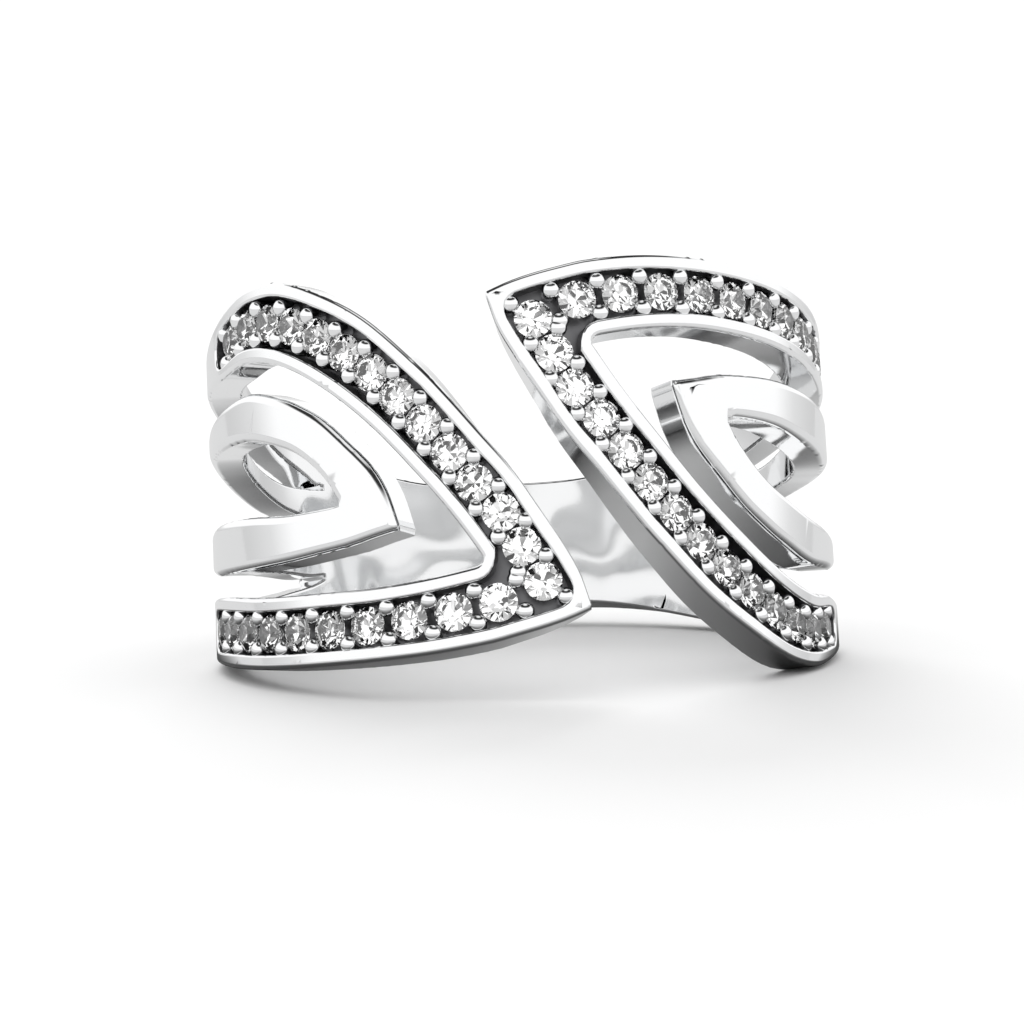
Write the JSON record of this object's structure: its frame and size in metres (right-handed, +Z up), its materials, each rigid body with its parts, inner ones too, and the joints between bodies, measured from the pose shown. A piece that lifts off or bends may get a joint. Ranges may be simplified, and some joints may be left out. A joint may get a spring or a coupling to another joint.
{
  "type": "ring",
  "caption": "Bypass finger ring: a narrow shank splits on each side into bands that end in a pointed stone-set chevron with a plain chevron inside it.",
  "frame": {"origin": "centre of the base of the box round the ring as it lies on a table, tipped back onto its narrow shank", "axes": "+Z up from the table; the shank's back is at +Y and the opening between the two chevrons at -Y; +X runs to the side whose chevron starts low"},
  "size_m": [0.0212, 0.0224, 0.0137],
  "materials": {
    "metal": "high polish",
    "stone": "cut and polished"
  },
  "bodies": {
    "root": {"ring_body": "metal", "left_stones": "stone", "right_stones": "stone"}
  },
  "joints": []
}
